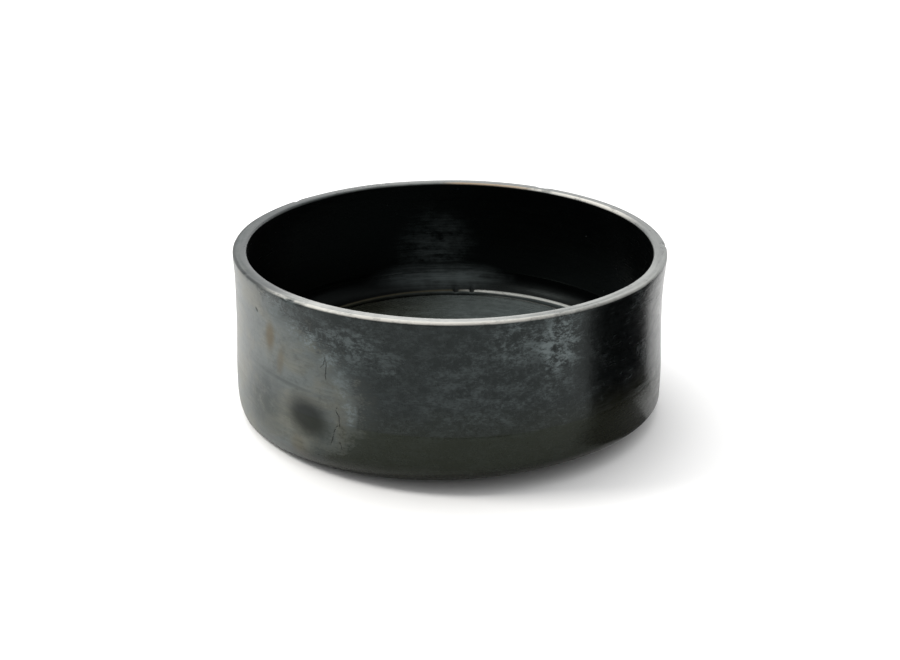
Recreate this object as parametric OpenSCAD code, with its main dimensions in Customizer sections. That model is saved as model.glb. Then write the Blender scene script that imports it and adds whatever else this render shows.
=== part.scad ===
// Straight-sided hand-built black bowl, made the way a potter joins one:
//   base_dish   - thick floor slab whose edge is turned up through a round corner
//   wall_ring   - upright wall with a flat, softened rim, luted onto the base's edge
//   corner_coil - soft coil of clay pressed into the inside corner, over the joint
// The three pieces meet face to face. Millimetres, +Z up, origin at the centre of
// the foot, on the surface the bowl stands on.

/* [Rim] */
// outer diameter at the rim
rim_d = 251; // [200:1:320]
// overall height, foot to rim
height = 97.5; // [75:0.5:140]
// wall thickness at the rim
wall_t = 8; // [6:0.5:12]
// rounding of the rim's two edges
rim_edge_r = 1.8; // [0.5:0.1:2.5]

/* [Wall] */
// how much the wall stands out at the joint, past the rim's radius
belly = 1.6; // [0:0.1:4]
// height of the joint between base and wall
joint_z = 34; // [26:1:40]

/* [Base] */
// thickness of the floor slab
floor_t = 21; // [12:1:22]
// radius of the outside corner under the wall
corner_r = 21; // [14:1:24]

/* [Corner coil] */
// height of the coil above the floor
coil_h = 15; // [15:1:18]
// width of the coil across the floor
coil_w = 11.6; // [9:0.1:12]
// radius of the hollow pressed into the coil
cove_r = 14; // [12:0.5:14]
// thickness left at the coil's feathered top edge
coil_lip = 0.8; // [0.5:0.1:1.5]
// rounding of the coil's edge on the floor
nose_r = 0.7; // [0.4:0.1:0.8]

/* [Hidden] */
$fn = 180;
rim_r = rim_d / 2;
joint_r = rim_r + belly;
foot_r = joint_r - corner_r;
inner_r = joint_r - wall_t;
rim_in_r = rim_r - wall_t;
coil_top = floor_t + coil_h;
slope_z = max(coil_top, joint_z + 1);
cove_x = inner_r - coil_lip - cove_r;
coil_in = inner_r - coil_w;
black = [0.16, 0.18, 0.18];
black_low = [0.20, 0.20, 0.19];
black_in = [0.12, 0.14, 0.14];

// half section of the floor, its outside corner and its turned-up edge
module base_section() {
    difference() {
        union() {
            square([foot_r, floor_t]);
            intersection() {
                translate([foot_r, corner_r]) circle(r = corner_r);
                translate([foot_r, 0]) square([corner_r, corner_r]);
            }
            translate([foot_r, corner_r]) square([corner_r, joint_z - corner_r]);
        }
        translate([-1, floor_t]) square([inner_r + 1, joint_z]);
    }
}

// half section of the upright wall, with the two rounded edges of its flat rim
module wall_section() {
    edge_z = height - rim_edge_r;
    polygon([
        [inner_r, joint_z],
        [joint_r, joint_z],
        [rim_r, edge_z],
        [rim_in_r, edge_z],
        [inner_r, slope_z]
    ]);
    translate([rim_in_r + rim_edge_r, edge_z - rim_edge_r])
        square([wall_t - 2 * rim_edge_r, 2 * rim_edge_r]);
    translate([rim_r - rim_edge_r, edge_z]) circle(r = rim_edge_r);
    translate([rim_in_r + rim_edge_r, edge_z]) circle(r = rim_edge_r);
}

// half section of the coil: a hollow cove whose thin rounded edge lies on the floor
module coil_section() {
    difference() {
        translate([coil_in, floor_t]) square([coil_w, coil_h]);
        translate([cove_x, coil_top]) circle(r = cove_r);
    }
    translate([coil_in, floor_t + nose_r]) circle(r = nose_r);
    translate([coil_in - nose_r, floor_t]) square([nose_r, nose_r]);
}

module base_dish() {
    color(black_low) rotate_extrude() base_section();
}

module wall_ring() {
    color(black) rotate_extrude() wall_section();
}

module corner_coil() {
    color(black_in) rotate_extrude() coil_section();
}

base_dish();
wall_ring();
corner_coil();
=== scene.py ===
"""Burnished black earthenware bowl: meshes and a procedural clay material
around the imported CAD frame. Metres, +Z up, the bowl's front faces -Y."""

import math
from types import SimpleNamespace

import bpy
import numpy as np
from mathutils import Matrix, Vector


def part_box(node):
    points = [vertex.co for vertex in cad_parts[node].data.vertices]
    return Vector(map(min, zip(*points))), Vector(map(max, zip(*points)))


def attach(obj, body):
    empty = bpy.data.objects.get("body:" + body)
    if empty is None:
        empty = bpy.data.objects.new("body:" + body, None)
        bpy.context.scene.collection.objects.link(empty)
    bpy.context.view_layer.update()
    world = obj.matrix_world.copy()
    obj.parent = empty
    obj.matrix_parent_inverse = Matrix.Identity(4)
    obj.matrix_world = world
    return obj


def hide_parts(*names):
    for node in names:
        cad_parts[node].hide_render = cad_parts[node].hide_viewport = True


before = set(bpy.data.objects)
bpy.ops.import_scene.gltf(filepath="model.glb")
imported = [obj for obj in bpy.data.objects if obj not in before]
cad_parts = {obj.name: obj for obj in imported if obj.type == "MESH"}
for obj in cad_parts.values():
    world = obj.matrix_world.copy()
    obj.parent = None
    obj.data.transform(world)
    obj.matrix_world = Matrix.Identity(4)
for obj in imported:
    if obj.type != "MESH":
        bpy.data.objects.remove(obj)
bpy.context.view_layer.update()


# ---------------------------------------------------------------- sizes, from the CAD
base_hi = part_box("base_dish")[1]
wall_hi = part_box("wall_ring")[1]
coil_lo, coil_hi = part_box("corner_coil")
HEIGHT = wall_hi.z
JOINT_Z = base_hi.z
JOINT_R = wall_hi.x
INNER_R = coil_hi.x
FLOOR_Z = coil_lo.z
COIL_TOP = coil_hi.z
WALL = JOINT_R - INNER_R
MM = 0.001
RIM_R = JOINT_R - 1.6 * MM  # the wall leans in from the joint to the rim
RIM_IN = RIM_R - WALL
COIL_W = 11.6 * MM  # the coil's width across the floor
COVE = 14.0 * MM  # radius of the hollow pressed into the coil
LIP = 0.8 * MM  # the cove's circle stops this far short of the wall
NOSE = 0.7 * MM  # rounding of the coil's edge on the floor
TUCK = 1.0 * MM  # hidden edges reach this far under their neighbour
COIL_SUNK = 0.6 * MM  # how far the coil's edge reaches below the floor's level
RIM_BAND = 3.0 * MM  # the wall's faces end this far below its top, where the rim begins
RIM_CROWN = 0.18 * MM  # the arch of the rim's flat
EDGE_ROUND = 1.6 * MM  # the rim's rounded edges, and how uneven they are
EDGE_UNEVEN = 0.30 * MM
SEAM_WIDTH = 0.7 * MM
SHARP = math.radians(48)  # a crease steeper than this is shaded as an edge
BULGE_FROM, BULGE_FULL = 40 * MM, 92 * MM  # heights between which the mouth goes out of round

SECTORS = 640
THETA = np.arange(SECTORS) * 2 * math.pi / SECTORS  # 0 faces the front, + turns to +X


# ---------------------------------------------------------------- uneven hand-made form
def wave(seed, orders, amount):
    """A smooth closed wobble round the bowl, at most about `amount` either way."""
    rng = np.random.default_rng(seed)
    total = np.zeros(SECTORS)
    for order in orders:
        total += rng.uniform(0.4, 1.0) / order * np.cos(order * THETA + rng.uniform(0, 2 * math.pi))
    return amount * total / max(1e-9, np.abs(total).max())


def rolling(seed, heights, amount, step):
    """Soft dents over a wall: wobbles that change slowly from one height to the next."""
    rng = np.random.default_rng(seed)
    levels = np.arange(-2, 30) * step
    table = np.array([wave(int(rng.integers(1 << 30)), range(3, 26), 1.0) for _ in levels])
    rows = []
    for h in heights:
        i = int(np.clip(np.searchsorted(levels, h) - 1, 0, len(levels) - 2))
        t = (h - levels[i]) / step
        t = t * t * (3 - 2 * t)
        rows.append(table[i] * (1 - t) + table[i + 1] * t)
    return amount * np.array(rows)


def bell(angle_deg, half_deg):
    """1 at one bearing round the bowl, falling smoothly to 0."""
    gap = (np.degrees(THETA) - angle_deg + 180) % 360 - 180
    return np.exp(-((gap / half_deg) ** 2))


def smooth(a, b, x):
    """0 below a, 1 above b, and a smooth ramp between."""
    t = np.clip((x - a) / (b - a), 0, 1)
    return t * t * (3 - 2 * t)


SIDE = np.sin(THETA)  # +1 at the bowl's right, -1 at its left
FRONT = np.cos(THETA)
# the outside corner is tight on the left and long and low on the front right
at_back = smooth(-0.1, -0.75, FRONT)
CORNER_W = np.clip(14 + 27 * SIDE + 23 * FRONT - 9 * np.cos(2 * THETA), 4.5, 46)
CORNER_W = (CORNER_W * (1 - at_back) + 19 * at_back) * MM
CORNER_H = np.clip(11.5 + 6 * FRONT - np.where(SIDE > 0, 2.2, 0.8) * SIDE, 10, 18)
CORNER_H = (CORNER_H * (1 - at_back) + 16 * at_back) * MM
RIM_TOP = HEIGHT - (0.34 - 0.14 * SIDE) * MM + wave(11, range(2, 14), 0.16 * MM)
OUT_WOBBLE = wave(12, range(2, 7), 0.16 * MM)
RIM_BULGE = 1.1 * MM * bell(164, 30)  # the mouth is not quite round
IN_WOBBLE = wave(13, range(2, 9), 0.45 * MM)
SEAM_DEPTH = (0.012 + 0.16 * bell(8, 24) + 0.05 * bell(200, 60)) * MM

# how far the outside stands in from the CAD's widest radius, in mm, by height in mm:
# full at the base, drawn in a little at the waist, flaring again at the rim
SWELL = ((0, 0.25), (19, 0.28), (26, 0.40), (33, 0.72), (42, 1.25), (52, 1.75), (64, 2.05),
         (72, 2.20), (79, 2.20), (85, 2.00), (91, 1.65), (98, 1.35))
# how far the wall leans to the left, the same way
LEAN = ((0, 0.20), (34, 0.24), (50, 0.34), (75, 0.34), (88, 0.10), (98, 0.0))


def flowing(z, points):
    """A smooth curve through (height in mm, value in mm) points, read at z metres."""
    h = np.array([p[0] for p in points], float)
    v = np.array([p[1] for p in points], float)
    slope = np.gradient(v, h)
    x = np.clip(np.asarray(z, float) / MM, h[0], h[-1])
    i = np.clip(np.searchsorted(h, x, side="right") - 1, 0, len(h) - 2)
    span = h[i + 1] - h[i]
    t = (x - h[i]) / span
    near, far = v[i] * (1 + 2 * t) * (1 - t) ** 2, v[i + 1] * (3 - 2 * t) * t ** 2
    bend = slope[i] * t * (1 - t) ** 2 - slope[i + 1] * (1 - t) * t ** 2
    return (near + far + bend * span) * MM


def outer_r(z):
    """Outside radius of the wall and of the base above its corner, one row per height."""
    z = np.asarray(z, float)
    rows = JOINT_R - 0.15 * MM - flowing(z, SWELL)[:, None] + OUT_WOBBLE[None, :]
    rows = rows - flowing(z, LEAN)[:, None] * SIDE[None, :]
    rows += smooth(BULGE_FROM, BULGE_FULL, z)[:, None] * RIM_BULGE[None, :]
    rows += rolling(21, z, 0.06 * MM, 13 * MM)
    rows += 0.006 * MM * np.sin(2 * math.pi * z / (5.2 * MM))[:, None]
    return rows


def inner_r(z):
    """Inside radius of the wall above the cove."""
    z = np.asarray(z, float)
    cone = INNER_R - (INNER_R - RIM_IN) * np.clip((z - COIL_TOP) / (HEIGHT - COIL_TOP), 0, 1)
    rows = cone[:, None] + IN_WOBBLE[None, :]
    rows += smooth(BULGE_FROM, BULGE_FULL, z)[:, None] * RIM_BULGE[None, :]
    rows += rolling(22, z, 0.10 * MM, 11 * MM)
    rows += 0.010 * MM * np.sin(2 * math.pi * z / (6.1 * MM))[:, None]
    return rows


def seam_groove(z):
    """The shallow line where wall and base were luted together."""
    z = np.asarray(z, float)
    return np.exp(-(((z - JOINT_Z) / SEAM_WIDTH) ** 2))[:, None] * SEAM_DEPTH[None, :]


# ---------------------------------------------------------------- mesh making
def ring_mesh(name, radii, heights, closed, poles=(None, None)):
    """A lathe-like skin of rows (first row to last). closed joins the last row to the
    first; a pole is the height at which an end row closes on the axis."""
    rows = len(radii)
    x = radii * np.sin(THETA)[None, :]
    y = -radii * np.cos(THETA)[None, :]
    verts = np.stack([x, y, heights], -1).reshape(-1, 3)
    i = np.arange(rows if closed else rows - 1)[:, None]
    j = np.arange(SECTORS)[None, :]
    k = (j + 1) % SECTORS
    up = (i + 1) % rows
    quads = np.stack([i * SECTORS + j, i * SECTORS + k, up * SECTORS + k, up * SECTORS + j], -1)
    faces = [list(map(int, q)) for q in quads.reshape(-1, 4)]
    points = [tuple(map(float, v)) for v in verts]
    for end, pole in ((0, poles[0]), (rows - 1, poles[1])):
        if pole is None:
            continue
        centre = len(points)
        points.append((0.0, 0.0, float(pole)))
        for a in range(SECTORS):
            b = (a + 1) % SECTORS
            tri = [end * SECTORS + b, end * SECTORS + a, centre]
            faces.append(tri if end == 0 else tri[::-1])
    mesh = bpy.data.meshes.new(name)
    mesh.from_pydata(points, [], faces)
    mesh.validate()
    mesh.shade_smooth()
    mesh.set_sharp_from_angle(angle=SHARP)
    obj = bpy.data.objects.new(name, mesh)
    bpy.context.scene.collection.objects.link(obj)
    return obj


def stack(*parts):
    """Joins blocks of rows; each block is (radii, heights)."""
    return np.concatenate([p[0] for p in parts]), np.concatenate([p[1] for p in parts])


def level(z):
    """Rows of one height each, all the way round."""
    return np.repeat(np.asarray(z, float)[:, None], SECTORS, 1)


EDGE_OUT = EDGE_ROUND + wave(31, range(3, 20), EDGE_UNEVEN)
EDGE_IN = EDGE_ROUND + wave(32, range(3, 20), EDGE_UNEVEN)
# small chips out of the rim's outer edge, the largest at the front left
CHIP = bell(-41.5, 1.5) * 1.4 * MM + bell(-38.6, 1.0) * 0.6 * MM + bell(88, 1.1) * 0.7 * MM
CHIP += bell(-63, 0.8) * 0.35 * MM + bell(27, 0.7) * 0.3 * MM + bell(151, 1.3) * 0.8 * MM
CHIP += bell(-128, 0.9) * 0.5 * MM


def wall_piece():
    """Outside, rim, inside, and the hidden face on the base."""
    out_top = HEIGHT - RIM_BAND
    z_out = JOINT_Z + (out_top - JOINT_Z) * np.linspace(0, 1, 52)
    near = JOINT_Z + np.array([0.25, 0.5, 0.8, 1.1, 1.5]) * MM
    z_out = np.sort(np.concatenate([z_out, near]))
    outside = (outer_r(z_out) - seam_groove(z_out), level(z_out))
    r_top = outer_r([out_top])[0]
    # rounded outer edge, flat of the rim, rounded inner edge
    steps = np.linspace(0, math.pi / 2, 9)[1:]
    spring = RIM_TOP - EDGE_OUT
    edge_r = np.array([r_top - EDGE_OUT * (1 - math.cos(a)) - CHIP * math.sin(2 * a)
                       for a in steps])
    edge_z = np.array([spring + EDGE_OUT * math.sin(a) - CHIP * math.sin(a) * 0.9 for a in steps])
    r_in = inner_r([out_top])[0]
    across = np.linspace(0, 1, 7)[1:-1]
    start, stop = r_top - EDGE_OUT, r_in + EDGE_IN
    flat_r = np.array([start * (1 - t) + stop * t for t in across])
    crown = rolling(33, across * 10 * MM, 0.10 * MM, 4 * MM)
    flat_z = np.array([RIM_TOP - RIM_CROWN * (2 * t - 1) ** 2 for t in across]) + crown
    turn = np.linspace(math.pi / 2, 0, 9)
    lip_r = np.array([stop - EDGE_IN * math.cos(a) for a in turn])
    lip_z = np.array([RIM_TOP - RIM_CROWN - EDGE_IN * (1 - math.sin(a)) for a in turn])
    z_in = np.concatenate([np.linspace(out_top, COIL_TOP, 50), [JOINT_Z]])
    r_inside = inner_r(z_in)
    hidden = COIL_TOP - z_in
    r_inside = np.where(hidden[:, None] > 0.01 * MM, INNER_R + TUCK * 1.2, r_inside)
    inside = (r_inside, level(z_in))
    radii, heights = stack(outside, (edge_r, edge_z), (flat_r, flat_z), (lip_r, lip_z), inside)
    return ring_mesh("clay_wall", radii, heights, closed=True)


RING_SIDE, RING_BACK = 2.8, 2.3  # mm: the floor is off centre, to the right and to the back
RING_MID = INNER_R - COIL_W
RING_R = RING_MID + (RING_SIDE * SIDE - RING_BACK * FRONT) * MM + wave(51, range(2, 14), 0.4 * MM)


def base_piece():
    """Floor, hidden faces, turned-up side, uneven outside corner and foot."""
    # the floor runs from the middle out to a thin groove under the coil's edge
    grid = np.concatenate([np.linspace(0.02, 0.93, 38), np.linspace(0.94, 1.0, 14)])
    r_floor = RING_R[None, :] * grid[:, None]
    lift = 0.45 * smooth(0.25, 0.97, grid) - 0.5 - 0.9 * smooth(0.985, 0.999, grid)
    dents = rolling(41, grid * 90 * MM, 0.20 * MM, 9 * MM)
    dents = dents * (smooth(0.0, 0.4, grid) * (1 - smooth(0.9, 0.98, grid)))[:, None]
    z_floor = FLOOR_Z + lift[:, None] * MM + dents
    # hidden under the coil, up behind it, and over the joint
    hidden_r = np.array([INNER_R - 0.5 * MM, INNER_R, INNER_R, INNER_R + 2 * MM])
    hidden_z = np.array([FLOOR_Z - 0.9 * MM, FLOOR_Z, JOINT_Z, JOINT_Z])
    hidden = (np.repeat(hidden_r[:, None], SECTORS, 1), level(hidden_z))
    z_side = JOINT_Z - np.array([0, 0.25, 0.5, 0.8, 1.1, 1.5, 2.2, 3.2, 4.6, 6.2, 8, 10]) * MM
    side = (outer_r(z_side) - seam_groove(z_side), level(z_side))
    # a straight run, then a quarter ellipse whose width and height change round the bowl
    turn_r, turn_z = [], []
    for f in np.linspace(1, 0, 7)[1:]:
        z = CORNER_H + (z_side[-1] - CORNER_H) * f
        turn_z.append(z)
        turn_r.append(np.diagonal(outer_r(z)))
    r_turn = turn_r[-1]
    for a in np.linspace(0, math.pi / 2, 25)[1:]:
        turn_z.append(CORNER_H * (1 - math.sin(a)))
        turn_r.append(r_turn - CORNER_W * (1 - math.cos(a)))
    corner = (np.array(turn_r), np.array(turn_z))
    under = np.linspace(1, 0.03, 14)[1:]
    foot = ((r_turn - CORNER_W)[None, :] * under[:, None], level(np.zeros(len(under))))
    radii, heights = stack((r_floor, z_floor), hidden, side, corner, foot)
    return ring_mesh("clay_base", radii[::-1], heights[::-1], closed=False,
                     poles=(0.0, float(z_floor[0].mean())))


def coil_piece():
    """The cove, from its thin edge on the floor up to its feathered top, with small gaps."""
    centre = INNER_R - LIP - COVE
    reach = np.arcsin(np.clip((RING_R - centre) / COVE, 0.02, 0.9))
    gap = np.zeros(SECTORS)
    for where, half, depth in ((177.9, 0.9, 1.1), (172.2, 0.8, 0.9), (60, 1.0, 0.5),
                               (-100, 1.2, 0.6)):
        gap += bell(where, half) * depth * MM
    wob = wave(52, range(2, 24), 0.22 * MM)
    low = COIL_TOP - COVE * np.cos(reach) + wob  # top of the thin edge on the floor
    rows_r, rows_z = [RING_R + 0.4 * MM], [np.full(SECTORS, FLOOR_Z - COIL_SUNK)]
    tall = np.maximum(low - FLOOR_Z + COIL_SUNK - gap, 0.5 * MM)
    for a in np.linspace(math.pi, math.pi / 2, 9):
        rows_r.append(RING_R + NOSE * (1 + math.cos(a)))
        rows_z.append(FLOOR_Z - COIL_SUNK + tall * (0.35 + 0.65 * math.sin(a)))
    soft = rolling(53, np.linspace(0, 20, 24) * MM, 0.16 * MM, 5 * MM)
    first = np.arcsin(np.clip((RING_R + NOSE - centre) / COVE, 0.02, 0.95))
    tops = inner_r([COIL_TOP])[0]
    for n, t in enumerate(np.linspace(0, 1, 24)[1:]):
        a = first + (math.pi / 2 - first) * t
        fade = (1 - t) ** 2
        across = (np.sin(a) - np.sin(first)) / (1 - np.sin(first))
        rows_r.append(RING_R + NOSE + (tops - RING_R - NOSE) * across)
        rows_z.append(COIL_TOP - COVE * np.cos(a) + (wob - gap) * fade
                      + soft[n] * math.sin(math.pi * t))
    rows_r += [np.full(SECTORS, INNER_R + TUCK)] * 2
    rows_z += [np.full(SECTORS, z) for z in (COIL_TOP, FLOOR_Z - COIL_SUNK)]
    return ring_mesh("clay_coil", np.array(rows_r), np.array(rows_z), closed=True)


wall_obj = wall_piece()
base_obj = base_piece()
coil_obj = coil_piece()


# ---------------------------------------------------------------- node helpers
class Graph:
    """Short names for the shader nodes this material uses."""

    def __init__(self, name):
        self.mat = bpy.data.materials.new(name)
        self.mat.use_nodes = True
        self.tree = self.mat.node_tree
        self.tree.nodes.clear()

    def node(self, kind, inputs=None, **props):
        n = self.tree.nodes.new(kind)
        for key, value in props.items():
            setattr(n, key, value)
        for key, value in (inputs or {}).items():
            self.put(n.inputs[key], value)
        return n

    def put(self, socket, value):
        if isinstance(value, bpy.types.NodeSocket):
            self.tree.links.new(value, socket)
        elif isinstance(value, bpy.types.Node):
            self.tree.links.new(value.outputs[0], socket)
        elif value is not None:
            socket.default_value = value

    def math(self, op, a, b=None, clamp=False):
        n = self.node("ShaderNodeMath", operation=op, use_clamp=clamp)
        self.put(n.inputs[0], a)
        self.put(n.inputs[1], b)
        return n.outputs[0]

    def add(self, a, b):
        return self.math("ADD", a, b)

    def sub(self, a, b):
        return self.math("SUBTRACT", a, b)

    def mul(self, a, b):
        return self.math("MULTIPLY", a, b)

    def most(self, a, b):
        return self.math("MAXIMUM", a, b)

    def inv(self, a):
        return self.math("SUBTRACT", 1.0, a)

    def step(self, value, low, high, to_low=0.0, to_high=1.0):
        """Smooth ramp: to_low at `low`, to_high at `high`."""
        n = self.node("ShaderNodeMapRange", interpolation_type="SMOOTHSTEP")
        self.put(n.inputs["Value"], value)
        for key, v in (("From Min", low), ("From Max", high),
                       ("To Min", to_low), ("To Max", to_high)):
            self.put(n.inputs[key], v)
        return n.outputs["Result"]

    def vec(self, x, y, z):
        return self.node("ShaderNodeCombineXYZ", {"X": x, "Y": y, "Z": z}).outputs[0]

    def noise(self, vector, scale, detail=3.0, rough=0.5, warp=0.0):
        n = self.node("ShaderNodeTexNoise", {
            "Vector": vector, "Scale": scale, "Detail": detail, "Roughness": rough,
            "Distortion": warp})
        return n.outputs["Fac"]

    def blend(self, amount, a, b):
        n = self.node("ShaderNodeMix", data_type="RGBA")
        self.put(n.inputs[0], amount)
        self.put(n.inputs[6], a if not isinstance(a, tuple) else (*a, 1.0))
        self.put(n.inputs[7], b if not isinstance(b, tuple) else (*b, 1.0))
        return n.outputs[2]


OUT_R_MM = 126.0  # marks on the outside are centred at this radius
# ramps in mm: none at the first number, all at the second
CRACK_REACH = (14.0, 10.0)  # measured either side of OUT_R_MM
INSIDE_BY_R = (121.5, 119.5)
INSIDE_BY_Z = (17.0, 18.5)
RIM_BY_Z = (95.7, 96.7)
OUTER_EDGE_BY_R = (123.2, 124.2)
INNER_EDGE_BY_R = (120.7, 119.7)


def place(g, pos, bearing, z, tilt, radius, size):
    """Coordinates local to a spot on the wall: X along it, Y out of it, Z up, in mm/size."""
    a = math.radians(bearing)
    n = g.node("ShaderNodeMapping", {
        "Vector": pos,
        "Location": (radius * math.sin(a), -radius * math.cos(a), z),
        "Rotation": (0.0, math.radians(tilt), a),
        "Scale": size}, vector_type="TEXTURE")
    return n.outputs[0]


def patch(g, pos, bearing, z, w, h, soft=0.5, tilt=0.0, ragged=None, radius=OUT_R_MM):
    """Soft-edged oval on the wall, w by h mm from its middle, edge pushed by a noise."""
    local = place(g, pos, bearing, z, tilt, radius, (w, max(w, 25.0), h))
    far = g.node("ShaderNodeVectorMath", {0: local}, operation="LENGTH").outputs["Value"]
    if ragged is not None:
        far = g.add(far, ragged)
    return g.step(far, 1.0 + soft, max(0.0, 1.0 - soft))


def crack(g, pos, bearing, z, half, width, tilt, wander):
    """A thin broken line up the wall, half mm long each way from its middle."""
    local = place(g, pos, bearing, z, tilt, OUT_R_MM, (1.0, 1.0, 1.0))
    s = g.node("ShaderNodeSeparateXYZ", {0: local})
    side = g.mul(g.sub(wander, 0.5), 7.0)
    off = g.math("ABSOLUTE", g.add(s.outputs[0], side))
    line = g.step(off, width, width * 0.25)
    ends = g.step(g.math("ABSOLUTE", s.outputs[2]), half, half * 0.8)
    near = g.step(g.math("ABSOLUTE", s.outputs[1]), *CRACK_REACH)
    return g.mul(g.mul(line, ends), near)


# ---------------------------------------------------------------- the clay's linear colours
SOOT = (0.0016, 0.0021, 0.0021)
SOOT_BROWN = (0.0038, 0.0039, 0.0008)
SOOT_IN = (0.0005, 0.0007, 0.0007)
# blue-grey haze, also the colour of the painted reflections inside the bowl
HAZE_AND_REFLECTION = (0.108, 0.128, 0.130)
GREY = (0.088, 0.098, 0.096)
GREY_WARM = (0.103, 0.105, 0.090)
TAN = (0.066, 0.050, 0.024)
SMOKE_OVAL = (0.0016, 0.0017, 0.0008)
SMOKE_FAINT = (0.022, 0.027, 0.027)
PIT = (0.006, 0.006, 0.005)
RIM_GREY = (0.205, 0.212, 0.202)
RIM_DARK = (0.018, 0.022, 0.023)
# painted highlight on the rim's edges
RIM_HIGHLIGHT = (0.47, 0.455, 0.42)
# painted highlight on the front of the rim's flat
RIM_FRONT_HIGHLIGHT = (0.34, 0.345, 0.33)
# painted dark reflection on the rim's outer edge
RIM_DARK_REFLECTION = (0.004, 0.005, 0.005)
# painted highlight, tinted tan, on the rim's inner edge
RIM_TAN_HIGHLIGHT = (0.30, 0.20, 0.11)
FLOOR_LEFT = (0.016, 0.017, 0.012)
FLOOR_RIGHT = (0.074, 0.088, 0.088)
# painted highlight along the coil's thin edge on the floor, left and right
EDGE_HIGHLIGHT_LEFT = (0.042, 0.038, 0.025)
EDGE_HIGHLIGHT_RIGHT = (0.42, 0.43, 0.41)
SHEEN = (0.87, 1.0, 0.99)
SHEEN_BASE = (0.87, 1.0, 0.87)
FILM_EVERYWHERE = 0.14  # the film's strength away from the places below, before the painted dark reflection cuts it down

# ---------------------------------------------------------------- marks on the clay
# A place is a bearing in degrees round the bowl, a height in mm, then a half width and a
# half height in mm. What follows it is said at each table.
# the grey side's border on the front left: height in mm, bearing in degrees
BORDER = ((0, -44), (12, -36), (20, -27), (35, -23), (50, -22), (62, -26), (72, -32),
          (80, -39), (88, -47), (97, -55))
BORDER_TOP, BORDER_SPAN = 97.0, 60.0  # the curve's full height in mm and width in degrees
# blue-grey film: a place, then how strong it is
FILM_PLACES = (
    (27.5, 82.0, 13.0, 18.0, 1.60), (17.0, 84.0, 16.0, 17.0, 0.62), (12.0, 66.0, 42.0, 30.0, 0.30),
    (27.0, 62.0, 13.0, 18.0, 0.42), (3.0, 45.0, 18.0, 12.0, 0.20), (-26.0, 78.0, 22.0, 14.0, 0.62),
    (-14.0, 72.0, 9.0, 9.0, 0.32), (-42.0, 86.0, 22.0, 14.0, 0.60), (-47.5, 90.0, 7.0, 6.0, 1.5),
    (-41.0, 82.0, 7.0, 6.0, 1.5), (-35.5, 76.0, 7.0, 6.0, 1.3), (-30.0, 68.0, 6.0, 7.0, 1.5),
    (-26.5, 56.0, 6.0, 9.0, 1.5), (-24.5, 42.0, 5.0, 9.0, 1.3), (28.5, 41.0, 4.5, 8.0, 0.30),
    (100.0, 60.0, 50.0, 34.0, 0.4), (150.0, 74.0, 45.0, 25.0, 0.7), (-150.0, 55.0, 50.0, 32.0, 0.5),
)
# tan streaks and faint smoke on the grey side: a place, then tilt in degrees and strength
TAN_MARKS = (
    (-50.0, 70.5, 3.9, 7.5, 6.0, 0.95), (-45.8, 59.0, 2.8, 7.0, 14.0, 0.55),
    (-26.5, 33.0, 3.2, 13.0, -4.0, 0.12), (-40.0, 15.0, 5.0, 6.0, 0.0, 0.35),
)
SMOKE_MARKS = (
    (-40.0, 90.0, 20.0, 6.0, -8.0, 0.6), (-24.0, 66.0, 14.0, 9.0, 0.0, 0.30),
    (-53.0, 30.0, 17.0, 15.0, -8.0, 0.9), (-46.0, 48.5, 24.0, 1.0, 2.0, 0.50),
    (-33.0, 15.0, 5.0, 7.0, 30.0, 0.7), (-60.0, 22.5, 12.0, 0.8, 0.0, 0.4),
)
# hairline cracks: bearing, height, half length and half width in mm, tilt in degrees
CRACKS = (
    (-30.6, 64.0, 7.0, 0.55, -6.0), (-27.4, 38.0, 6.0, 0.40, -4.0),
    (-28.6, 28.0, 7.0, 0.45, 16.0), (-31.6, 67.0, 4.0, 0.35, 30.0),
    (-26.6, 22.0, 2.2, 0.6, -30.0),
)
EDGE_GAPS = ((4.0, 1.5), (15.0, 1.2))  # breaks in the painted highlight on the floor's edge: x and half width, mm


def survey(g):
    """Coordinates in mm, which skin a point is on, and the noises that the marks share."""
    s = SimpleNamespace()
    coords = g.node("ShaderNodeTexCoord").outputs["Object"]
    s.pos = g.node("ShaderNodeVectorMath", {0: coords, "Scale": 1 / MM},
                   operation="SCALE").outputs[0]
    xyz = g.node("ShaderNodeSeparateXYZ", {0: s.pos})
    s.x, s.y, s.z = xyz.outputs[0], xyz.outputs[1], xyz.outputs[2]
    s.rad = g.math("SQRT", g.add(g.mul(s.x, s.x), g.mul(s.y, s.y)))
    s.bearing = g.math("DEGREES", g.math("ARCTAN2", s.x, g.mul(s.y, -1.0)))
    s.inside = g.mul(g.step(s.rad, *INSIDE_BY_R), g.step(s.z, *INSIDE_BY_Z))
    s.outside = g.inv(s.inside)
    s.on_rim = g.step(s.z, *RIM_BY_Z)

    # drawn out a little round the bowl, as the burnisher travelled
    wide = g.vec(g.mul(s.x, 0.6), g.mul(s.y, 0.6), s.z)
    s.broad = g.noise(s.pos, 0.016, 3.0, 0.55, 0.4)
    s.cloud = g.noise(wide, 0.060, 6.0, 0.62, 0.5)
    s.blotch = g.noise(wide, 0.19, 6.0, 0.70)
    s.speck = g.noise(wide, 0.75, 4.0, 0.75)
    s.grain = g.noise(s.pos, 2.2, 2.0, 0.6)
    along = g.vec(g.mul(g.add(s.z, s.rad), 0.70), g.mul(s.x, 0.030), g.mul(s.y, 0.030))
    s.streak = g.noise(along, 1.0, 4.0, 0.7)
    along_fine = g.vec(g.mul(g.add(s.z, s.rad), 2.3), g.mul(s.x, 0.07), g.mul(s.y, 0.07))
    s.streak_fine = g.noise(along_fine, 1.0, 2.0, 0.6)
    s.wander = g.noise(s.pos, 0.11, 4.0, 0.6)
    s.ragged = g.mul(g.sub(s.cloud, 0.5), 1.6)
    s.wavy = g.mul(g.sub(s.cloud, 0.5), 0.7)
    # the stroke marks are faint on the floor
    s.stroked = g.most(g.step(s.z, 23.5, 27.0, 0.35, 1.0), s.outside)
    return s


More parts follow.
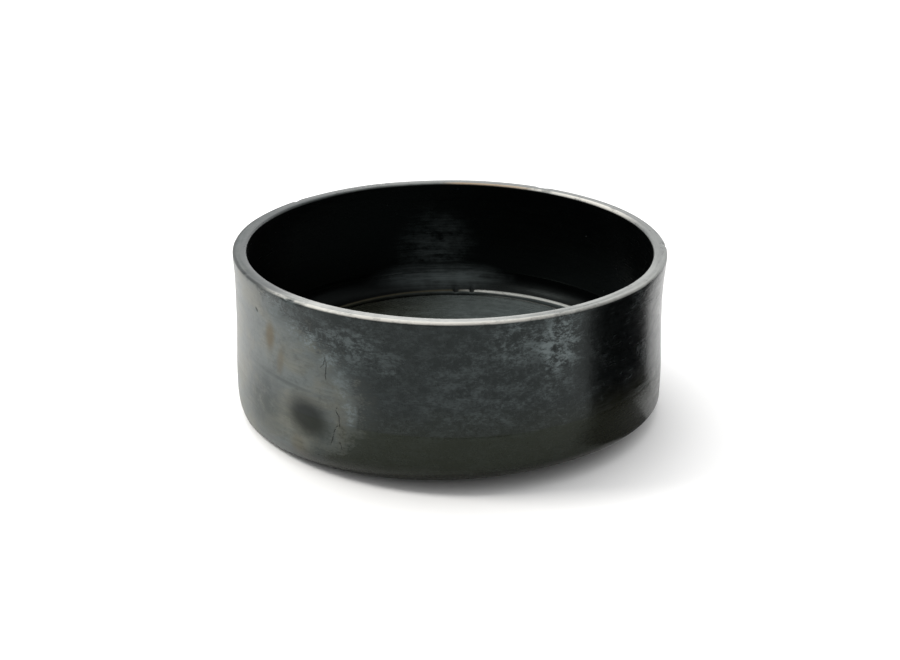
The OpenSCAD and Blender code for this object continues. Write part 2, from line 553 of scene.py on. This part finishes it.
def grey_clay(g, s):
    """How much of the grey, cleaner-burnt clay shows at a point on the outside."""
    border = g.node("ShaderNodeFloatCurve")
    curve = border.mapping.curves[0]
    while len(curve.points) < len(BORDER):
        curve.points.new(0.5, 0.5)
    for point, (height_mm, deg) in zip(curve.points, BORDER):
        point.location = (height_mm / BORDER_TOP, (deg + BORDER_SPAN) / BORDER_SPAN)
    border.mapping.update()
    g.put(border.inputs["Value"], g.math("DIVIDE", s.z, BORDER_TOP))
    edge_deg = g.sub(g.mul(border.outputs[0], BORDER_SPAN), BORDER_SPAN)
    high_up = g.step(s.z, 52.0, 80.0, 1.0, 2.0)  # the border is looser towards the rim
    jag = g.add(g.mul(g.sub(s.blotch, 0.5), 22.0), g.mul(g.sub(s.speck, 0.5), 16.0))
    grey_right = g.step(g.add(g.sub(s.bearing, edge_deg), g.mul(jag, high_up)), 6.0, -9.0)
    grey_left = g.step(g.add(s.bearing, g.mul(g.sub(s.cloud, 0.5), 80.0)), -150.0, -104.0)
    # weaker clean-burnt clouds round the back, by a large noise
    back_cloud = g.mul(g.step(g.add(s.broad, g.mul(g.sub(s.blotch, 0.5), 0.35)), 0.54, 0.78),
                       g.step(g.math("ABSOLUTE", s.bearing), 62.0, 95.0))
    return g.mul(g.most(g.mul(grey_right, grey_left), g.mul(back_cloud, 0.45)), s.outside)


def film_outside(g, s):
    """The mottled blue-grey haze, strongest in a few places on the front; at the front right it is
    cut down, a painted dark reflection.
    """
    film_and_reflection = None
    for deg, height_mm, w, h, amount in FILM_PLACES:
        one = g.mul(patch(g, s.pos, deg, height_mm, w, h, 0.55, 0.0, s.ragged), amount)
        film_and_reflection = one if film_and_reflection is None else g.most(film_and_reflection, one)
    film_and_reflection = g.most(film_and_reflection, FILM_EVERYWHERE)
    mottle = g.step(g.add(g.mul(s.blotch, 0.55), g.mul(s.speck, 0.45)), 0.42, 0.63)
    # painted dark reflection: it thins out round the right of the front, over a ragged, leaning
    # patch
    ragged_gap = g.add(g.mul(g.sub(s.cloud, 0.5), 38.0), g.mul(g.sub(s.blotch, 0.5), 18.0))
    lean = g.mul(g.sub(s.z, 48.0), 0.10)
    from_gap = g.math("ABSOLUTE", g.add(g.sub(s.bearing, 47.0), lean))
    film_and_reflection = g.mul(film_and_reflection, g.step(g.add(from_gap, ragged_gap), 4.0, 20.0, 0.10, 1.0))
    return g.mul(g.mul(film_and_reflection, mottle), g.mul(s.outside, g.step(s.z, 30.0, 37.0, 0.35, 1.0)))


def painted_inside_reflections(g, s):
    """Painted reflections at the back of the inside: a painted reflection on the wall, and a
    painted highlight on the cove below.
    """
    wall_reflection = patch(g, s.pos, 185.0, 50.0, 18.0, 20.0, 0.80, 0.0,
                   g.mul(g.sub(s.cloud, 0.5), 0.9), 118.0)
    strokes = g.add(g.mul(s.streak, 0.45), g.mul(s.blotch, 0.55))
    wall_reflection = g.mul(wall_reflection, g.step(strokes, 0.38, 0.62))
    cove_highlight = patch(g, s.pos, 183.0, 33.0, 31.0, 6.5, 0.75, 0.0, s.wavy, 116.0)
    strokes = g.add(s.streak, g.mul(s.blotch, 0.6))
    cove_highlight = g.mul(cove_highlight, g.step(strokes, 0.55, 0.95, 0.25, 1.0))
    return g.mul(g.most(g.mul(wall_reflection, 0.42), g.mul(cove_highlight, 0.80)), s.inside)


def wall_colour(g, s, grey, film_and_reflection):
    """Soot, film and grey clay, with the smoke marks and tan streaks on the grey side."""
    low_brown = g.step(g.add(s.z, g.mul(g.sub(s.cloud, 0.5), 22.0)), 52.0, 33.0)
    soot = g.blend(g.mul(low_brown, s.outside), g.blend(s.inside, SOOT, SOOT_IN), SOOT_BROWN)
    colour = g.blend(film_and_reflection, soot, HAZE_AND_REFLECTION)
    warm = g.mul(g.step(s.cloud, 0.42, 0.62), g.step(s.bearing, -112.0, -84.0, 0.25, 1.0))
    shade = g.step(g.add(s.blotch, g.mul(g.sub(s.speck, 0.5), 0.3)), 0.28, 0.60, 0.62, 1.0)
    colour = g.blend(g.mul(grey, shade), colour, g.blend(warm, GREY, GREY_WARM))

    oval = patch(g, s.pos, -36.5, 32.5, 14.5, 11.0, 0.55, 14.0, s.wavy)
    colour = g.blend(g.mul(oval, s.outside), colour, SMOKE_OVAL)
    for deg, height_mm, w, h, tilt, amount in TAN_MARKS:
        mark = g.mul(patch(g, s.pos, deg, height_mm, w, h, 0.6, tilt, s.wavy), amount)
        colour = g.blend(g.mul(mark, s.outside), colour, TAN)
    mottled = g.step(g.add(g.mul(s.blotch, 0.75), g.mul(s.speck, 0.25)), 0.32, 0.54)
    for deg, height_mm, w, h, tilt, amount in SMOKE_MARKS:
        mark = g.mul(patch(g, s.pos, deg, height_mm, w, h, 0.7, tilt, s.ragged), amount)
        colour = g.blend(g.mul(g.mul(mark, mottled), s.outside), colour, SMOKE_FAINT)
    return colour


def rim_colour(g, s, colour):
    """The rim's flat is lighter, in uneven rubs, with a painted highlight at its front; parts of
    both edges get painted highlights, and the outer edge at the left a painted dark reflection.
    """
    rub = g.step(g.add(g.mul(s.blotch, 0.5), g.mul(s.streak, 0.5)), 0.36, 0.62, 0.55, 1.0)
    rim_left = g.step(g.add(s.x, g.mul(g.sub(s.cloud, 0.5), 30.0)), -118.0, -20.0)
    rim_front = g.step(s.y, 10.0, -90.0, 0.45, 1.0)
    rim_tone = g.blend(g.mul(rim_left, rim_front), RIM_DARK, RIM_GREY)
    # painted highlight: the front of the rim's flat is paler
    pale = g.mul(g.step(s.bearing, -52.0, -34.0), g.step(s.bearing, 34.0, -6.0))
    rim_tone = g.blend(g.mul(pale, 0.85), rim_tone, RIM_FRONT_HIGHLIGHT)
    colour = g.blend(g.mul(s.on_rim, rub), colour, rim_tone)

    outer_edge = g.mul(s.on_rim, g.step(s.rad, *OUTER_EDGE_BY_R))
    inner_edge = g.mul(s.on_rim, g.step(s.rad, *INNER_EDGE_BY_R))
    highlight_breakup = g.step(g.add(s.blotch, g.mul(g.sub(s.speck, 0.5), 0.3)), 0.36, 0.50, 0.35, 1.0)
    # painted highlight along the outer edge at the front, broken up by a noise
    at_front = g.mul(g.step(s.bearing, -58.0, -34.0), g.step(s.bearing, 44.0, 2.0, 0.12, 1.0))
    at_front = g.mul(at_front, g.step(s.bearing, 75.0, 55.0))
    colour = g.blend(g.mul(g.mul(outer_edge, at_front), g.mul(highlight_breakup, 0.95)), colour, RIM_HIGHLIGHT)
    # painted dark reflection along the outer edge at the left
    at_left = g.mul(g.step(s.bearing, -48.0, -58.0), g.step(s.bearing, -140.0, -115.0))
    colour = g.blend(g.mul(g.mul(outer_edge, at_left), 0.9), colour, RIM_DARK_REFLECTION)
    # painted highlight along the inner edge at the back right
    back_right = g.mul(g.step(s.bearing, 100.0, 125.0), g.step(s.x, -8.0, 82.0))
    colour = g.blend(g.mul(g.mul(inner_edge, back_right), highlight_breakup), colour, RIM_HIGHLIGHT)
    # painted highlight, tinted tan, along the inner edge at the back
    tan_highlight_edge = g.mul(g.step(g.math("ABSOLUTE", g.sub(s.x, 26.0)), 34.0, 18.0),
                     g.step(s.y, 100.0, 110.0))
    return g.blend(g.mul(g.mul(inner_edge, tan_highlight_edge), 0.7), colour, RIM_TAN_HIGHLIGHT)


def floor_colour(g, s, colour, film_and_reflection):
    """The floor is greyer than the walls; the back of the inside gets painted reflections, and the
    coil's thin edge on the floor a painted highlight.
    """
    ring = g.math("DIVIDE", g.add(g.mul(s.x, RING_SIDE), g.mul(s.y, RING_BACK)),
                  g.most(s.rad, 1.0))
    past_ring = g.sub(s.rad, g.add(ring, RING_MID / MM))
    on_floor = g.mul(s.inside, g.step(past_ring, 0.75, 0.45))
    floor_side = g.step(g.add(s.x, g.mul(g.sub(s.cloud, 0.5), 60.0)), -70.0, 60.0)
    ringed = g.add(g.mul(s.streak, 0.35), g.mul(s.blotch, 0.65))
    ringed = g.step(ringed, 0.34, 0.64, 0.68, 1.0)
    colour = g.blend(g.mul(on_floor, ringed), colour,
                     g.blend(floor_side, FLOOR_LEFT, FLOOR_RIGHT))
    # painted reflections at the back of the inside, in the haze colour
    colour = g.blend(film_and_reflection, colour, HAZE_AND_REFLECTION)

    # painted highlight along the coil's thin edge on the floor, tan on the left and pale on the
    # right
    edge_highlight = g.mul(g.step(past_ring, 0.30, 0.55), g.step(past_ring, 1.9, 1.1))
    edge_highlight = g.mul(edge_highlight, s.inside)
    broken = None
    for gap_x, half in EDGE_GAPS:
        one = g.step(g.math("ABSOLUTE", g.sub(s.x, gap_x)), half * 1.7, half)
        broken = one if broken is None else g.most(broken, one)
    broken = g.mul(broken, g.step(s.y, 80.0, 95.0))  # both breaks are at the back
    edge_highlight = g.mul(edge_highlight, g.inv(g.mul(broken, 0.95)))
    edge_side = g.step(g.add(s.x, g.mul(g.sub(s.cloud, 0.5), 16.0)), 4.0, 26.0)
    return g.blend(g.mul(edge_highlight, g.step(s.blotch, 0.28, 0.46, 0.25, 1.0)), colour,
                   g.blend(edge_side, EDGE_HIGHLIGHT_LEFT, EDGE_HIGHLIGHT_RIGHT))


def pits_and_cracks(g, s):
    """Scattered pits, one larger pit, a dash by the left edge, and the hairline cracks."""
    cells = g.node("ShaderNodeTexVoronoi", {"Vector": s.pos, "Scale": 0.17, "Randomness": 1.0})
    chance = g.node("ShaderNodeSeparateColor", {0: cells.outputs["Color"]}).outputs[0]
    pits = g.mul(g.step(cells.outputs["Distance"], 0.10, 0.05), g.step(chance, 0.80, 0.82))
    pits = g.mul(pits, g.step(s.speck, 0.42, 0.55))
    one_pit = patch(g, s.pos, 25.5, 79.0, 1.1, 1.9, 0.5, 12.0)
    dash = patch(g, s.pos, -56.0, 81.5, 1.6, 0.9, 0.5, 30.0)
    lines = None
    for deg, height_mm, half, width, tilt in CRACKS:
        one = crack(g, s.pos, deg, height_mm, half, width, tilt, s.wander)
        lines = one if lines is None else g.most(lines, one)
    lines = g.mul(lines, g.step(s.speck, 0.36, 0.50))
    drawn = g.mul(g.most(lines, g.most(one_pit, g.mul(dash, 0.7))), s.outside)
    return g.most(g.mul(pits, 0.7), drawn)


def clay(name, rough_base, ior, sheen):
    """Burnished, smoke-fired clay. All its marks are placed in the bowl's own millimetres."""
    g = Graph(name)
    s = survey(g)
    grey = grey_clay(g, s)
    film_and_reflection = film_outside(g, s)
    marks = pits_and_cracks(g, s)

    colour = rim_colour(g, s, wall_colour(g, s, grey, film_and_reflection))
    colour = floor_colour(g, s, colour, painted_inside_reflections(g, s))
    tone = g.add(g.mul(g.sub(s.streak, 0.5), 0.55), g.mul(g.sub(s.streak_fine, 0.5), 0.35))
    tone = g.mul(tone, s.stroked)
    tone = g.add(1.0, g.add(tone, g.mul(g.sub(s.grain, 0.5), 0.25)))
    bright = g.node("ShaderNodeVectorMath", {0: colour, "Scale": tone},
                    operation="SCALE").outputs[0]
    final = g.blend(g.mul(marks, 0.85), bright, PIT)

    rough = g.add(rough_base, g.mul(g.sub(s.streak, 0.5), 0.16))
    rough = g.add(rough, g.mul(g.sub(s.blotch, 0.5), 0.20))
    rough = g.add(rough, g.mul(g.most(grey, film_and_reflection), 0.13))
    rough = g.add(rough, g.mul(s.on_rim, 0.06))
    rough = g.math("ADD", rough, g.mul(marks, 0.3), clamp=True)

    # relief in mm
    relief = g.mul(g.mul(s.streak, 0.050), s.stroked)
    relief = g.add(relief, g.mul(g.mul(s.streak_fine, 0.016), s.stroked))
    relief = g.add(relief, g.mul(s.grain, 0.013))
    relief = g.add(relief, g.mul(s.cloud, 0.30))
    relief = g.sub(relief, g.mul(marks, 0.22))
    bump = g.node("ShaderNodeBump", {"Strength": 1.0, "Distance": MM, "Height": relief})

    shader = g.node("ShaderNodeBsdfPrincipled", {
        "Base Color": final, "Roughness": rough, "Normal": bump.outputs[0]})
    shader.inputs["IOR"].default_value = ior
    shader.inputs["Specular Tint"].default_value = (*sheen, 1.0)
    out = g.node("ShaderNodeOutputMaterial")
    g.tree.links.new(shader.outputs[0], out.inputs[0])
    return g.mat


looks = {
    "burnished_wall": clay("clay_wall_look", rough_base=0.24, ior=1.31, sheen=SHEEN),
    "burnished_base": clay("clay_base_look", rough_base=0.27, ior=1.31, sheen=SHEEN_BASE),
    "burnished_inside": clay("clay_inside_look", rough_base=0.36, ior=1.14, sheen=SHEEN),
}
for obj, node, slot in (
        (wall_obj, "wall_ring", "burnished_wall"),
        (base_obj, "base_dish", "burnished_base"),
        (coil_obj, "corner_coil", "burnished_inside")):
    obj.data.materials.append(looks[slot])
    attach(obj, "root")
    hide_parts(node)


# ---------------------------------------------------------------- floor, light, camera
def plain(name, colour, rough=0.9):
    """A dull material of one colour."""
    mat = bpy.data.materials.new(name)
    mat.use_nodes = True
    shader = mat.node_tree.nodes["Principled BSDF"]
    shader.inputs["Base Color"].default_value = (*colour, 1.0)
    shader.inputs["Roughness"].default_value = rough
    shader.inputs["Specular IOR Level"].default_value = 0.1
    return mat


def sheet(name, centre, across, up, mat):
    """A flat four-cornered sheet, for the floor, the studio flag and its apron."""
    c, a, u = Vector(centre), Vector(across), Vector(up)
    mesh = bpy.data.meshes.new(name)
    mesh.from_pydata([c - a - u, c + a - u, c + a + u, c - a + u], [], [(0, 1, 2, 3)])
    mesh.materials.append(mat)
    obj = bpy.data.objects.new(name, mesh)
    bpy.context.scene.collection.objects.link(obj)
    return obj


FLOOR_REACH = 6  # metres from the middle of the floor to its edge
sheet("studio_floor", (0, 0, 0), (FLOOR_REACH, 0, 0), (0, FLOOR_REACH, 0),
      plain("pale_floor", (0.95, 0.95, 0.95)))
flag_black = plain("flag_black", (0.002, 0.002, 0.002), 1.0)
# a black flag stands on the right; a dark apron lies at its foot. Only gloss sees them
flag = sheet("studio_flag", (0.170, -0.065, 0.090), (0, 0.056, 0), (0, 0, 0.090), flag_black)
apron = sheet("studio_apron", (0.136, -0.082, 0.0012), (0.033, 0, 0), (0, 0.039, 0),
              plain("apron_dark", (0.25, 0.25, 0.25), 1.0))
for dark in (flag, apron):
    dark.visible_camera = False
    dark.visible_diffuse = False
    dark.visible_shadow = False


def area(name, place_at, aim, size, power, colour):
    """A soft rectangular light, turned towards the point it aims at."""
    data = bpy.data.lights.new(name, "AREA")
    data.shape = "RECTANGLE"
    data.size, data.size_y = size
    data.energy = power
    data.color = colour
    obj = bpy.data.objects.new(name, data)
    obj.location = place_at
    obj.rotation_euler = (Vector(aim) - Vector(place_at)).to_track_quat("-Z", "Y").to_euler()
    bpy.context.scene.collection.objects.link(obj)


area("top_softbox", (-0.10, 0.25, 1.25), (0, 0, 0.05), (0.8, 0.8), 5.6, (1.0, 0.99, 0.97))
area("key_softbox", (-0.76, -0.07, 0.95), (0, 0, 0.09), (0.30, 0.30), 7.5, (1.0, 0.98, 0.94))

world = bpy.data.worlds.new("studio")
bpy.context.scene.world = world
world.use_nodes = True
tree = world.node_tree
sky = tree.nodes["Background"]
# the room is darker on the viewer's side and bright at the back; the backdrop reads as white
heading = tree.nodes.new("ShaderNodeSeparateXYZ")
tree.links.new(tree.nodes.new("ShaderNodeTexCoord").outputs["Generated"], heading.inputs[0])
room = tree.nodes.new("ShaderNodeMapRange")
room.interpolation_type = "SMOOTHSTEP"
for key, value in (("From Min", -0.75), ("From Max", 0.75), ("To Min", 0.36), ("To Max", 1.85)):
    room.inputs[key].default_value = value
tree.links.new(heading.outputs["Y"], room.inputs["Value"])
seen = tree.nodes.new("ShaderNodeMix")
tree.links.new(tree.nodes.new("ShaderNodeLightPath").outputs["Is Camera Ray"], seen.inputs[0])
tree.links.new(room.outputs["Result"], seen.inputs[2])
seen.inputs[3].default_value = 1.0
tree.links.new(seen.outputs[0], sky.inputs[1])
sky.inputs[0].default_value = (1.0, 1.0, 1.0, 1.0)

# the camera stands a little over six rim radii away and looks down by about 23 degrees
REACH = 0.125
DISTANCE = 6.26 * REACH
DOWN = math.radians(22.89)
ROLL = math.radians(0.36)
AIM_Z = 0.097 - 0.451 * REACH  # the view is centred below the rim's middle
cam_data = bpy.data.cameras.new("camera")
cam_data.sensor_width = 36.0
cam_data.lens = 52.2
cam_data.clip_start = 0.01
camera = bpy.data.objects.new("camera", cam_data)
camera.location = (0.003 * REACH, -DISTANCE * math.cos(DOWN),
                   AIM_Z + DISTANCE * math.sin(DOWN))
tilt_down = Matrix.Rotation(math.pi / 2 - DOWN, 3, "X")
camera.rotation_euler = (tilt_down @ Matrix.Rotation(ROLL, 3, "Z")).to_euler()
bpy.context.scene.collection.objects.link(camera)
bpy.context.scene.camera = camera
bpy.context.scene.view_settings.view_transform = "Standard"
